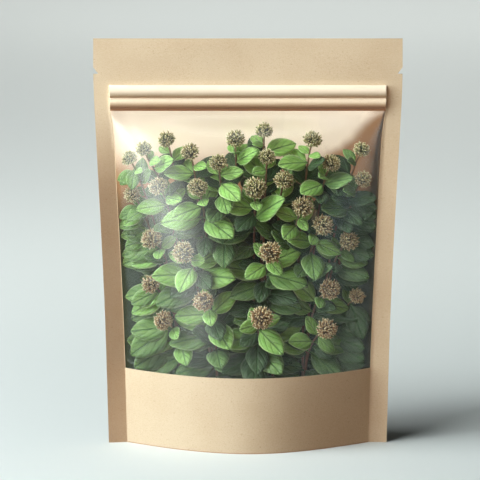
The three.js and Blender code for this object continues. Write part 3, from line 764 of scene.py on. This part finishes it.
def kraft_paper():
    """Uncoated brown paper: soft mottling, short fibres that lie across it, and a few dark flecks.

    The lining is pale at the top, with painted shade in its top right corner and along its sides, and painted
    dark shade low down among the herbs.
    """
    f = Finish("kraft_paper")
    cloud = f.noise(34, 3.0)
    fibre = f.noise(900, 3.0, 0.6, (1, 1, 3.2))
    grain = f.noise(2600)
    fleck = f.ramp(f.noise(560, 1.0, squeeze=(1, 1, 2)), 0.7, 0.78)
    base = f.mix(f.ramp(cloud, 0.34, 0.68), KRAFT_DULL, KRAFT_WARM)
    fibres = f.mix(f.ramp(fibre, 0.36, 0.7) * 0.34, base, KRAFT_FIBRE)
    grained = f.mix(f.ramp(grain, 0.5, 0.72) * 0.3, fibres, KRAFT_FLECK)
    flecked = f.mix(fleck * 0.34, grained, KRAFT_FLECK)
    # Painted highlight on the ridge tops, then painted shade under the ridges, on the seals and along the
    # bottom edge.
    highlighted = f.mix(f.attribute("painted_highlight") * 0.75, flecked, RIDGE_PAINTED_HIGHLIGHT)
    outer = f.mix(f.attribute("painted_shade") * 0.8, highlighted, PAINTED_SHADE_BROWN)
    level = f.along_axis(2) + cloud * 0.016
    aside = f.along_axis(0)
    # Painted shade: a triangle in the top right corner and strips along both sides, more on the right;
    # painted dark shade low down among the herbs.
    corner_shade = f.ramp(aside - level * CORNER_SHADE_LEAN, *CORNER_PAINTED_SHADE)
    edge = f.ramp(aside, 0.06, 0.069) * 0.6 + f.ramp(aside, -0.06, -0.0685) * 0.2
    pale = f.ramp(level, *PALE_LEVELS) * (1 - corner_shade.larger(edge))
    shaded = f.mix(pale, LINING_PAINTED_SHADE, LINING_PALE)
    lining = f.mix(f.ramp(level, *PAINTED_DARK_LEVELS), LINING_PAINTED_DARK, shaded)
    colour = f.mix(f.attribute("inner"), outer, lining)
    relief = fibre * 0.6 + grain * 0.4
    return f.close(f.surface(colour, 0.62 + fibre * 0.16, f.bump(relief, 0.00005, 0.5), 0.36, 0.12))


def clear_film():
    """Glossy film with a faint haze: it mirrors the soft lights and lets the rest through."""
    f = Finish("clear_film")
    haze = f.noise(26)
    waves = f.bump(f.noise(42, squeeze=(1, 1, 0.4)), 0.0006, 0.3)
    shine = f.surface(paint(238, 243, 240), 0.24 + haze * 0.08, waves, metallic=1.0)
    clear = f.node("BsdfTransparent", {}, {"Color": (0.985, 0.985, 0.975, 1)}, "BSDF")
    mirror = f.node("Fresnel", {}, {"IOR": 1.4}, "Fac") * FILM_GLOSS
    gloss = mirror.smaller(FILM_GLOSS_MOST) + haze * 0.008
    return f.close(f.node("MixShader", {}, {0: gloss, 1: clear, 2: shine}, "Shader"))


def track_plastic():
    """Milky plastic with fine lines along its run."""
    f = Finish("track_plastic")
    cloud = f.noise(60)
    lines = f.noise(2400, 1.0, squeeze=(0.02, 1, 1))
    colour = f.mix(cloud * 0.5, (236, 232, 220), (222, 216, 200))
    return f.close(f.surface(colour, 0.34 + lines * 0.12, f.bump(lines, 0.00004, 0.4)))


def leaf_skin():
    """Upper face with a sunken midrib and veins that sweep to the tip; a painted highlight along the margins;
    paler beneath; painted shade darkens leaves by their tone.
    """
    f = Finish("leaf_skin")
    along, across, off = f.attribute("along"), abs(f.attribute("across")), abs(f.attribute("off"))
    tone, under = f.attribute("tone"), f.attribute("under")
    blotch = f.noise(240, 3.0)
    pores = f.noise(2300)
    midrib = 1 - f.ramp(off, 0.02, 0.085)
    beside = f.ramp(off, 0.06, 0.12) * (1 - f.ramp(off, 0.16, 0.36))
    sweep = along - off * (0.4 + off * 0.3)
    wave = abs((sweep * VEIN_PAIRS + blotch * 0.2) % 1.0 - 0.5) * 2
    vein = f.ramp(wave, 0.6, 1.0) * f.ramp(across, 0.02, 0.1) * (1 - f.ramp(across, 0.7, 0.92))
    # Painted highlight along the margins.
    margin = f.ramp(across, 0.84, 0.97)
    # Painted shade: tone is a random variation times the darkening painted on deep, low and lower right
    # leaves.
    toned_green = f.mix(f.ramp(tone, 0.0, 1.0), LEAF_PAINTED_DARK, LEAF_GREEN)
    patched = f.mix(f.ramp(blotch, 0.35, 0.7) * tone * 0.4, toned_green, LEAF_YELLOW)
    flushed = f.mix(beside * tone * 0.42, patched, LEAF_RIB_PALE)
    lines = (vein * 0.34).larger(midrib * 0.8)
    veined = f.mix(lines, flushed, LEAF_VEIN)
    edged = f.mix(margin * tone * 0.9, veined, LEAF_RIM_HIGHLIGHT)
    colour = f.mix(under * 0.4 * tone, edged, LEAF_UNDER)
    quilt = wave * wave * wave * -0.6 - midrib + pores * 0.08
    rough = 0.46 + pores * 0.16 + under * 0.1
    return f.close(f.surface(colour, rough, f.bump(quilt, 0.0005, 0.8), 0.36, 0.08))


def stem_skin():
    """Streaked brown bark that turns greener towards the flower head."""
    f = Finish("stem_skin")
    along = f.attribute("along")
    streaks = f.noise(1500, squeeze=(1, 1, 0.15))
    patch = f.noise(120)
    young = f.mix(f.ramp(along + patch * 0.3, 0.55, 1.1), STEM_BROWN, STEM_GREEN)
    colour = f.mix(streaks * 0.5, young, STEM_PALE)
    return f.close(f.surface(colour, 0.62 + streaks * 0.1, f.bump(streaks, 0.0001, 0.6), 0.3, 0.15))


def bud_skin():
    """Calyx that runs from olive at its foot through tan to a cream mouth; some heads are browner."""
    f = Finish("bud_skin")
    along, tone = f.attribute("along"), f.attribute("tone")
    grain = f.noise(1600)
    foot = f.mix(tone, BUD_FOOT, BUD_FOOT_BROWN)
    waist = f.mix(tone, BUD_WAIST, BUD_WAIST_BROWN)
    lower = f.mix(f.ramp(along, 0.1, 0.55), foot, waist)
    colour = f.mix(f.ramp(along + grain * 0.16, 0.72, 1.02), lower, BUD_MOUTH)
    return f.close(f.surface(colour, 0.68 + grain * 0.12, f.bump(grain, 0.0001, 0.5), 0.25, 0.2))


def studio_floor():
    """Plain pale floor with a very faint unevenness, and painted light: paler away from the pouch."""
    f = Finish("studio_floor")
    cloud = f.noise(1.3)
    away = f.node("VectorMath", {"operation": "LENGTH"}, {0: f.place()}, "Value")
    near = f.mix(cloud * 0.4, FLOOR_PALE, FLOOR_SHADE)
    # Painted light: paler away from the pouch.
    colour = f.mix(f.ramp(away, 0.2, 1.2), near, FLOOR_FAR_PAINTED_LIGHT)
    return f.close(f.surface(colour, 0.6 + cloud * 0.1, specular=0.2))


# --- meshes ---
CRISP_ANGLE = math.radians(38)


def spots(bm, *names):
    """Numbers kept at every point of a mesh, which its finish reads."""
    layers = bm.verts.layers.float
    return [layers.get(name) or layers.new(name) for name in names]


def mesh_of(name, bm, finishes):
    mesh = bpy.data.meshes.new(name)
    bm.to_mesh(mesh)
    bm.free()
    for finish in finishes:
        mesh.materials.append(finish)
    return mesh


def cut_piece(name, bm, finishes, crisp=False):
    """Turns a mesh in millimetres into the piece that stands for a node; crisp keeps its cut edges."""
    bmesh.ops.scale(bm, vec=(MM, MM, MM), verts=bm.verts)
    for face in bm.faces:
        face.smooth = True
    for edge in bm.edges if crisp else ():
        edge.smooth = edge.calc_face_angle(0) < CRISP_ANGLE
    piece = put(name, mesh_of(name, bm, finishes))
    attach(piece, "root")
    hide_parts(name)
    return piece


def laid_grid(bm, across, up, place, left_out=None):
    """A grid of across by up cells, each point moved to place(i, j), less the cells where left_out(i, j)."""
    made = bmesh.ops.create_grid(bm, x_segments=across, y_segments=up, size=1)["verts"]
    index = {v: (round((v.co.x + 1) / 2 * across), round((v.co.y + 1) / 2 * up)) for v in made}
    faces = {face for v in made for face in v.link_faces}
    if left_out:
        cut = []
        for face in faces:
            corners = [index[v] for v in face.verts]
            if left_out(min(c[0] for c in corners), min(c[1] for c in corners)):
                cut.append(face)
        faces -= set(cut)
        bmesh.ops.delete(bm, geom=cut, context="FACES")
    kept = [v for v in made if v.is_valid]
    for v in kept:
        v.co = place(*index[v])
    return kept, list(faces)


def thicken(bm, faces, thickness):
    """Gives a sheet its thickness, to the side that its faces turn away from."""
    before = set(bm.verts)
    bm.normal_update()
    bmesh.ops.solidify(bm, geom=faces, thickness=thickness)
    return [v for v in bm.verts if v not in before]


# --- pouch ---
def spread(count):
    """Shares from -1 to 1, closer together towards both ends."""
    return [math.sin((2 * i / count - 1) * math.pi / 2) for i in range(count + 1)]


PAPER_SPOTS = ("inner", "painted_highlight", "painted_shade")
BODY_SHARES = spread(BODY_CELLS)
SEAL_SHARES = [0.03, 0.2, 0.42, 0.68, 1]
# Every column of a panel: its share of the body's half width, and of the side seal beyond.
COLUMNS = [(-1, -share) for share in reversed(SEAL_SHARES)] + [(share, 0) for share in BODY_SHARES]
COLUMNS += [(1, share) for share in SEAL_SHARES]


def column_x(i, z):
    """Where column i of a panel stands at a height."""
    body, seal = COLUMNS[i]
    return body * half_body(z) + seal * (half_width(z) - half_body(z))


def in_body(x, z):
    """1 across the body, falling to 0 at the side seals."""
    return clamp(1 - (abs(x) / half_body(z)) ** 4)


def ridge_height(z):
    """The two half-round ridges of the closed zip, with a crisp groove between."""
    if z <= ZIP_LOW or z >= ZIP_TOP:
        return 0.0
    low, high = (ZIP_LOW, ZIP_GROOVE) if z < ZIP_GROOVE else (ZIP_GROOVE, ZIP_TOP)
    s = (2 * z - low - high) / (high - low)
    floor = GROOVE_FLOOR if abs(z - ZIP_GROOVE) < 1 else 0.0
    return max(floor, RIDGE_STANDS * math.sqrt(max(0.0, 1 - s * s)))


def on_ridge(x, z):
    """1 along the ridges and 0 past their ends."""
    return clamp((1 - abs(x) / half_body(z)) / RIDGE_END)


def ridge_painted_light(z):
    """How much painted highlight and painted shade the zip's paper takes: highlight on the ridge tops, shade
    under each ridge and on the strip below the zip.
    """
    if not WINDOW_TOP - TINY < z < ZIP_TOP + TINY:
        return 0.0, 0.0
    if z < ZIP_GROOVE:
        s = (z - ZIP_LOW) / (ZIP_GROOVE - ZIP_LOW)
        return 0.5 * clamp((s - 0.5) / 0.3), clamp((0.62 - s) / 0.5)
    s = (z - ZIP_GROOVE) / (ZIP_TOP - ZIP_GROOVE)
    return clamp((s - 0.2) / 0.3), 0.7 * clamp((0.24 - s) / 0.2)


def paper_waves(x, z):
    """Slight unevenness of the header, where the two plies move together."""
    header = in_body(x, z) * clamp((z - ZIP_TOP) / 8) * clamp((HEIGHT - z) / 6 + 0.35)
    return HEADER_WAVE * header * math.sin(x * 0.071 + 1.1) * math.sin(z * 0.16 + x * 0.021)


def panel_offset(x, z):
    """How far a panel's outer face stands from the middle surface: less where the two are sealed."""
    into_seal = max(clamp((abs(x) - half_body(z)) / SEAL_STEP), clamp((z - ZIP_TOP + 0.6) / 0.8))
    relief = ridge_height(z) * on_ridge(x, z)
    band = in_body(x, z) * clamp((WINDOW_LOW - z) / 14) * math.sin(x * 0.11 + 0.6)
    return OUT + (SEAL_OUT - OUT) * into_seal + relief + BAND_WAVE * band


def seal_curl(x, z):
    """The filled body pulls the side seals a little towards the front, the left one more."""
    into_seal = clamp((abs(x) - half_body(z)) / (half_width(z) - half_body(z)))
    most = SEAL_CURL_LEFT if x < 0 else SEAL_CURL_RIGHT
    return -most * into_seal * (0.45 + 0.55 * clamp(z / 45)) * clamp((ZIP_LOW - z) / 45)


def notched_x(x, z, i, last):
    """The tear notch: level below, slanting above."""
    if i not in (0, last) or not NOTCH_LOW < z < NOTCH_TOP:
        return x
    depth = NOTCH_DEPTH * (NOTCH_TOP - z) / (NOTCH_TOP - NOTCH_LOW)
    return x - math.copysign(depth, x)


def rows_between(*stops):
    """Heights through stops (height, cells up to the next); negative cells crowd at both ends."""
    rows = []
    for (low, cells), (high, _) in zip(stops, stops[1:]):
        count = abs(cells)
        shares = [k / count for k in range(count)] if cells > 0 else [(s + 1) / 2 for s in spread(count)[:-1]]
        rows += [low + (high - low) * share for share in shares]
    return rows + [stops[-1][0]]


PANEL_ROWS = rows_between(
    (0, 1), (FOOT_CREASE, 9), (WINDOW_LOW, 26), (WINDOW_TOP, 1),
    (ZIP_LOW - 0.15, 1), (ZIP_LOW, -12), (ZIP_GROOVE, -12), (ZIP_TOP, 1), (ZIP_TOP + 0.2, 2),
    (NOTCH_LOW, 1), (NOTCH_LOW + 0.03, 3), (NOTCH_TOP, 5), (HEIGHT, 0),
)


def panel(name, front, finish):
    """The front panel, with its window cut out, or the back panel."""
    seal = len(SEAL_SHARES)
    last = len(COLUMNS) - 1

    def place(i, j):
        z = PANEL_ROWS[j]
        x = column_x(i, z)
        y = bulge(x, z) + panel_offset(x, z)
        shift = seal_curl(x, z) + paper_waves(x, z)
        return notched_x(x, z, i, last), (-y if front else y) + shift, z

    def in_window(i, j):
        return seal <= i < last - seal and WINDOW_LOW - TINY <= PANEL_ROWS[j] < WINDOW_TOP - TINY

    bm = bmesh.new()
    _, faces = laid_grid(bm, last, len(PANEL_ROWS) - 1, place, in_window if front else None)
    if not front:
        bmesh.ops.reverse_faces(bm, faces=faces)
    inner, painted_highlight, painted_shade = spots(bm, *PAPER_SPOTS)
    for v in bm.verts:
        # Painted highlight and painted shade along the zip's ridges.
        on_zip = on_ridge(v.co.x, v.co.z)
        v[painted_highlight], v[painted_shade] = (on_zip * share for share in ridge_painted_light(v.co.z))
        # Painted shade: the side seals browner, the left one more, fading towards the zip; a painted contact
        # shadow along the bottom edge.
        if abs(v.co.x) > half_body(v.co.z):
            v[painted_shade] = (0.4 if v.co.x < 0 else 0.12) * clamp((ZIP_LOW - v.co.z) / 40)
        elif v.co.z < TINY:
            v[painted_shade] = 1.0
    for v in thicken(bm, faces, PAPER):
        v[inner] = 1.0
    return cut_piece(name, bm, [finish], crisp=True)


def film_waves(x, z):
    """Shallow creases that run down and in from the ends of the zip, and a slight slackness."""
    share = abs(x) / half_body(z)
    edge = clamp((1 - share) / 0.12)
    high = clamp((z - 128) / 34) * clamp((FILM_TOP - z) / 9)
    fan = math.atan2(72 - abs(x), FILM_TOP + 3 - z)
    creases = math.sin(fan * 17 + math.copysign(0.9, x)) * clamp(share * 1.5 - 0.25)
    slack = math.sin(x * 0.09 + z * 0.055) * 0.5 * clamp((z - WINDOW_LOW) / 20) * clamp((170 - z) / 20)
    return edge * (creases * high * FILM_CREASE + slack * FILM_SLACK)


def window_film(finish):
    """Clear sheet behind the front panel, lapped under the kraft all round."""
    rows = rows_between((WINDOW_LOW - LAP, 1), (WINDOW_LOW, 40), (FILM_TOP, 0))
    shares = [-1 - FILM_LAP, *BODY_SHARES, 1 + FILM_LAP]

    def place(i, j):
        z = rows[j]
        x = shares[i] * half_body(z)
        return x, -bulge(x, z) - film_waves(x, z) + seal_curl(x, z) - FILM_THICK / 2, z

    bm = bmesh.new()
    _, faces = laid_grid(bm, len(shares) - 1, len(rows) - 1, place)
    thicken(bm, faces, FILM_THICK)
    cut_piece("window_film", bm, [finish])


def bottom_gusset(finish):
    """Floor of the pouch, with a crease along its middle, between two short walls sealed inside the panels.
    """
    walls = [12, 8, 4, 1.2]
    floor = [math.cos(k / 12 * math.pi) for k in range(13)]
    stations = [(-1, z) for z in walls] + [(-share, GUSSET_FLOOR) for share in floor]
    stations += [(1, z) for z in reversed(walls)]

    def place(i, j):
        side, z = stations[j]
        x = BODY_SHARES[i] * half_body(z)
        crease = GUSSET_CREASE * clamp(1 - abs(side) * 3.2) * clamp((1 - abs(BODY_SHARES[i])) * 6)
        return x, side * (bulge(x, z) + GUSSET_OUT), z + crease

    bm = bmesh.new()
    _, faces = laid_grid(bm, len(BODY_SHARES) - 1, len(stations) - 1, place)
    bmesh.ops.recalc_face_normals(bm, faces=faces)
    spots(bm, *PAPER_SPOTS)
    thicken(bm, faces, PAPER)
    cut_piece("bottom_gusset", bm, [finish], crisp=True)


# --- oregano ---
leaf_edge = through(LEAF_EDGE)
LEAF_SPOTS = ("along", "across", "off", "tone", "under")


def grow_leaf(bm, leaf, rng, painted_light):
    """A thin blade on the frame of its solid: each half bows up from the midrib."""
    along, across, off, tone, under = spots(bm, *LEAF_SPOTS)
    shade = clamp(painted_light * rng.uniform(0.78, 1.22))
    twist = rng.uniform(-LEAF_TWIST, LEAF_TWIST)
    curl = rng.uniform(0.0, LEAF_CURL)
    length = leaf["length"]

    def place(i, j):
        t, v = LEAF_ROWS[j], 2 * i / LEAF_CELLS - 1
        half = 0.5 * LEAF_WIDTH * length * leaf_edge(t)
        bow = half * (LEAF_BOW * abs(v) * (1 - LEAF_BOW_BACK * abs(v))) - LEAF_FOLD * half * abs(v)
        wave = LEAF_WAVE * half * math.sin(t * 9 + shade * 20) * abs(v)
        lift = bow + wave + twist * half * v * t - curl * length * max(0, t - LEAF_CURL_FROM)
        return leaf_point(leaf, t, v, leaf_edge(t), lift)

    made, faces = laid_grid(bm, LEAF_CELLS, len(LEAF_ROWS) - 1, place)
    for k, v in enumerate(made):
        row, column = divmod(k, LEAF_CELLS + 1)
        v[along], v[across], v[tone] = LEAF_ROWS[row], 2 * column / LEAF_CELLS - 1, shade
        v[off] = v[across] * leaf_edge(v[along])
    for v in thicken(bm, faces, LEAF_THICK):
        v[under] = 1.0


def grow_stem(bm, run, inside, finish):
    """A six-sided stem along its run and on into the flower head, thinner towards it."""
    (along,) = spots(bm, "along")
    points = [Vector(p) for p in run[:: STEM_PARTS // 2]] + [Vector(inside)]
    foot = bmesh.ops.create_circle(bm, segments=6, radius=1, cap_ends=True)["verts"]
    cap = foot[0].link_faces[0]
    bmesh.ops.reverse_faces(bm, faces=[cap])
    corners = [v.co.copy() for v in cap.verts]
    for k, at in enumerate(points):
        if k:
            out = bmesh.ops.extrude_face_region(bm, geom=[cap])["geom"]
            cap = next(g for g in out if isinstance(g, bmesh.types.BMFace))
        ahead = points[min(k + 1, len(points) - 1)] - points[max(k - 1, 0)]
        turn = ahead.to_track_quat("Z", "Y")
        share = k / (len(points) - 1)
        radius = STEM_RADIUS * (0.95 - 0.36 * share)
        for v, corner in zip(cap.verts, corners):
            v.co = at + turn @ (corner * radius)
            v[along] = share
            for face in v.link_faces:
                face.material_index = finish


def painted_light_share(leaf):
    """Painted shade: leaves are darker towards the pouch's lower right corner."""
    x, _, z = leaf_point(leaf, 0.5, 0)
    return 1 - 0.8 * clamp((x - 26 + 0.35 * max(0, 85 - z)) / 34)


def leafy_sprig(letter, bed, finishes):
    """The stems that fork from one foot, with their leaves."""
    bm = bmesh.new()
    rng = random.Random(letter)
    spots(bm, *LEAF_SPOTS)
    for index, head in enumerate(bed.heads):
        if head["sprig"] != letter:
            continue
        inside = minus(head["middle"], times(head["tip"], STEM_INTO_HEAD * head["radius"]))
        grow_stem(bm, bed.stems[index]["run"], inside, 1)
        for leaf in bed.leaves[index]:
            # Painted shade: leaves further from the tip are darker, and the inner leaves nearly black,
            # lighter only towards the left side.
            grow_leaf(bm, leaf, rng, clamp(1.08 - leaf["from_tip"] / 24, 0.2, 0.95) * painted_light_share(leaf))
        for leaf in bed.inner_leaves[index]:
            grow_leaf(bm, leaf, rng, 0.06 + 0.36 * clamp((-34 - leaf_point(leaf, 0.5, 0)[0]) / 26))
    cut_piece("leafy_sprig_" + letter, bm, finishes)


def even_directions(count):
    """Directions spread evenly over a ball."""
    turn = math.pi * (3 - math.sqrt(5))
    for k in range(count):
        z = 1 - 2 * (k + 0.5) / count
        r = math.sqrt(1 - z * z)
        yield Vector((r * math.cos(k * turn), r * math.sin(k * turn), z))


def grow_bud(bm, root, direction, length, width, shade):
    """One bud: a narrow foot, a fuller mouth and a blunt end."""
    along, tone = spots(bm, "along", "tone")
    turn = direction.to_track_quat("Z", "Y").to_matrix().to_4x4()
    made = bmesh.ops.create_uvsphere(bm, u_segments=5, v_segments=4, radius=1)["verts"]
    half = length / 2
    for v in made:
        share = (v.co.z + 1) / 2
        full = (1.3 - 0.8 * share) * width / 2
        v.co = root + turn @ Vector((v.co.x * full, v.co.y * full, half * (1 + v.co.z)))
        v[along] = share
        v[tone] = shade


def scatter(rng, most):
    return Vector([rng.uniform(-most, most) for _ in range(3)])


def flower_head(index, head, finishes):
    """A ball of buds round a dark heart, flattened where the film lies on it."""
    bm = bmesh.new()
    along, tone = spots(bm, "along", "tone")
    rng = random.Random(500 + index)
    radius, middle, tip = head["radius"], Vector(head["middle"]), Vector(head["tip"])
    brown = clamp(1.15 - (middle.z - 60) / 95 + rng.uniform(-0.15, 0.15))
    heart = bmesh.ops.create_icosphere(bm, subdivisions=2, radius=HEART_SHARE * radius)["verts"]
    for v in heart:
        v.co += middle
        v[along], v[tone] = 0.0, brown
    base = tip.to_track_quat("Z", "Y")
    for direction in even_directions(BUDS):
        if direction.z < BUD_LOWEST:
            continue
        way = (base @ (direction + scatter(rng, BUD_SCATTER))).normalized()
        lean = (way + scatter(rng, BUD_LEAN) + tip * BUD_RISE).normalized()
        reach = radius * rng.uniform(*BUD_REACH) * (1 if direction.z > -0.3 else 0.9)
        length = radius * rng.uniform(*BUD_LENGTH)
        shade = clamp(brown + rng.uniform(-0.35, 0.35))
        width = radius * rng.uniform(*BUD_WIDTH)
        grow_bud(bm, middle + way * reach - lean * length, lean, length, width, shade)
    flat = head["depth"] / radius
    for v in bm.verts:
        v.co.y = middle.y + (v.co.y - middle.y) * flat
        room = bulge(v.co.x, v.co.z) - PRESSED
        v.co.y = max(v.co.y, -max(0.4, room))
    cut_piece(f"flower_head_{index + 1:02d}", bm, finishes)


# --- studio ---
def area_light(name, width, height, power):
    data = bpy.data.lights.new(name, "AREA")
    data.shape = "RECTANGLE"
    data.size, data.size_y = width, height
    data.energy = power
    light = put(name, data)
    light.visible_camera = False
    return light


def soft_light(name, azimuth, elevation, distance, width, height, power, colour):
    """A softbox aimed at the pouch."""
    light = area_light(name, width, height, power)
    light.data.color = colour
    a, e = math.radians(azimuth), math.radians(elevation)
    middle = Vector((0, 0, 0.1))
    way = Vector((-math.sin(a) * math.cos(e), -math.cos(a) * math.cos(e), math.sin(e)))
    aim(light, middle + way * distance, middle)
    return light


def gather(name, things, state):
    """A collection that a light is kept off (EXCLUDE) or kept to (INCLUDE)."""
    held = bpy.data.collections.new(name)
    for thing in things:
        held.objects.link(thing)
    for entry in held.collection_objects:
        entry.light_linking.link_state = state
    return held


def grid_light(turn, aside, out, height, depth, spread, power):
    """Lights the floor at a distance, and keeps off the pouch."""
    light = area_light("floor_wash", WASH_WIDTH, depth, power)
    light.data.spread = math.radians(spread)
    light.visible_glossy = False
    turned = Matrix.Rotation(math.radians(turn), 4, "Z")
    light.matrix_world = turned @ Matrix.Translation((aside, out, height))


def lay_floor():
    bm = bmesh.new()
    bmesh.ops.create_grid(bm, x_segments=8, y_segments=8, size=FLOOR_HALF)
    floor = put("floor", mesh_of("floor", bm, [studio_floor()]))
    floor.visible_diffuse = False
    return floor


def build_studio(panels):
    world = bpy.data.worlds.new("studio")
    world.use_nodes = True
    sky = world.node_tree.nodes["Background"]
    sky.inputs["Color"].default_value = WORLD_COLOUR
    sky.inputs["Strength"].default_value = WORLD_LIGHT
    scene.world = world
    things = {"floor": lay_floor(), "lining": panels[1]}
    for *box, kept_off in LIGHTS:
        light = soft_light(*box)
        light.visible_glossy = False
        links = light.light_linking
        if light.name in DIRECT_ONLY:
            light.data.cycles.max_bounces = 0
        if light.name in LINING_ONLY:
            links.receiver_collection = gather(light.name + "_flag", panels[1:], "INCLUDE")
            links.blocker_collection = gather(light.name + "_blockers", panels, "INCLUDE")
        elif kept_off:
            shielded = [things[name] for name in kept_off]
            links.receiver_collection = gather(light.name + "_flag", shielded, "EXCLUDE")
    for card in CARDS:
        soft_light(*card).visible_diffuse = False
    for wash in WASHES:
        grid_light(*wash)
    scene.view_settings.view_transform = "Standard"


def dress_zip(finish):
    """The zip's two tracks keep their solids and get their finish."""
    for name in ("zip_track_front", "zip_track_back"):
        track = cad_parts[name]
        track.data.materials.clear()
        track.data.materials.append(finish)


def build():
    set_camera()
    outside = kraft_paper()
    panels = [panel("front_panel", True, outside), panel("back_panel", False, outside)]
    bottom_gusset(outside)
    window_film(clear_film())
    dress_zip(track_plastic())
    leaf, stem, bud = leaf_skin(), stem_skin(), bud_skin()
    bed = Bed()
    for letter in sorted({head["sprig"] for head in bed.heads}):
        leafy_sprig(letter, bed, [leaf, stem])
    for index, head in enumerate(bed.heads):
        flower_head(index, head, [bud])
    build_studio(panels)


build()
bpy.context.view_layer.update()
